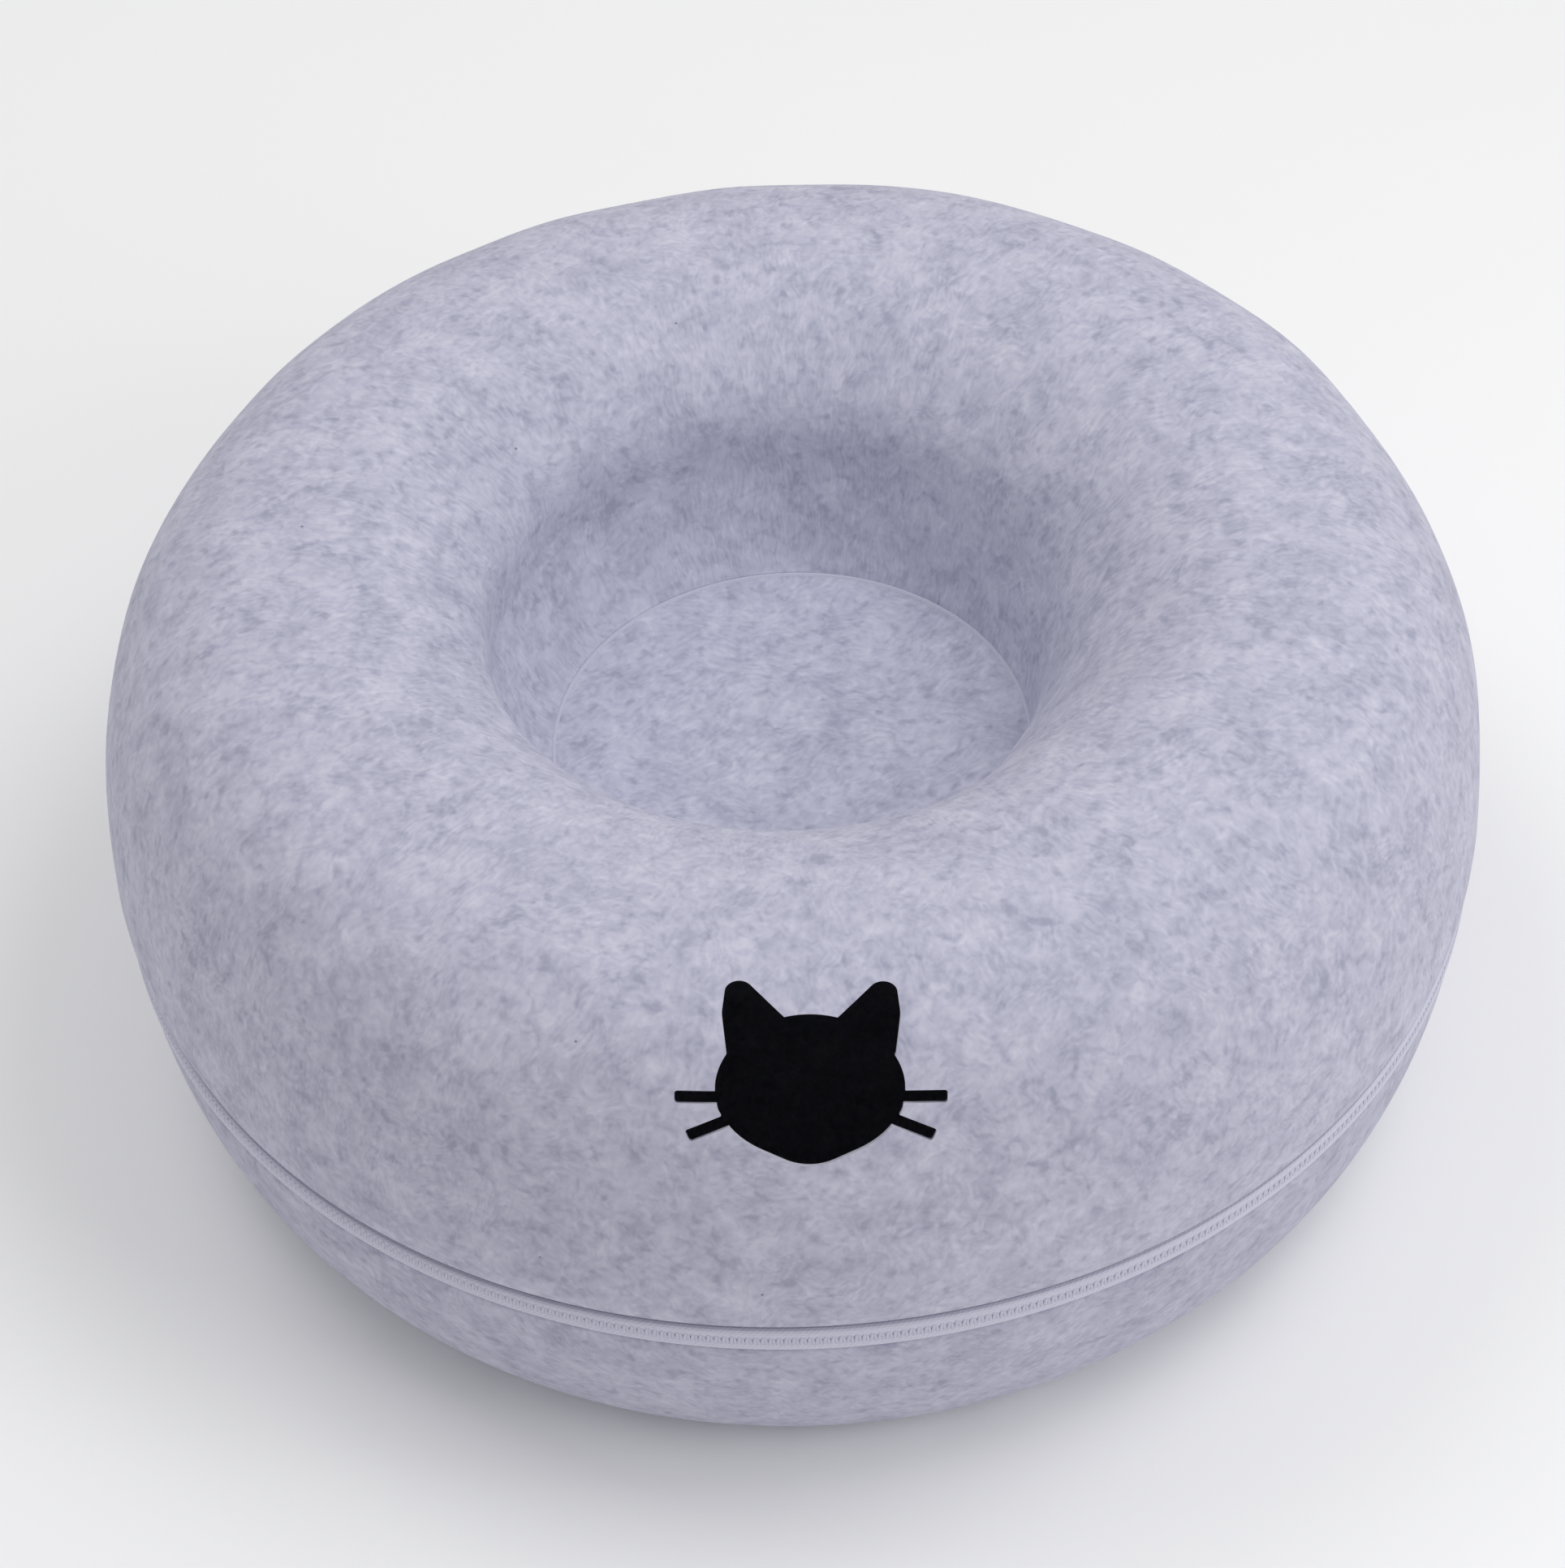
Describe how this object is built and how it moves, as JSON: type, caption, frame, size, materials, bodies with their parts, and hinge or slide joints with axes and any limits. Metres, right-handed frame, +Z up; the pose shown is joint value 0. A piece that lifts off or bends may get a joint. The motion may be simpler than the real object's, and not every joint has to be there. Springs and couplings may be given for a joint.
{
  "type": "felt cat cave with a sunken nest and a zip",
  "caption": "Round grey felt cat cave: a ring-shaped upper shell with a sunken nest and a cat-head peephole, zipped to a felt bowl with an entrance at the back.",
  "frame": {"origin": "centre of the flat round base, on the surface that the cat cave stands on", "axes": "+Z up; -Y towards the front, where the cat-head peephole is; +Y towards the entrance at the back; +X to the right, seen from the front"},
  "size_m": [0.5038, 0.4921, 0.2278],
  "materials": {
    "felt": "heathered needle-punched felt",
    "zip_tape": "herringbone woven tape",
    "zip_chain": "moulded coil"
  },
  "bodies": {
    "root": {"upper_shell": "felt", "nest_floor": "felt", "lower_shell": "felt", "zip_tape_upper": "zip_tape", "zip_tape_lower": "zip_tape", "zip_chain": "zip_chain"}
  },
  "joints": []
}
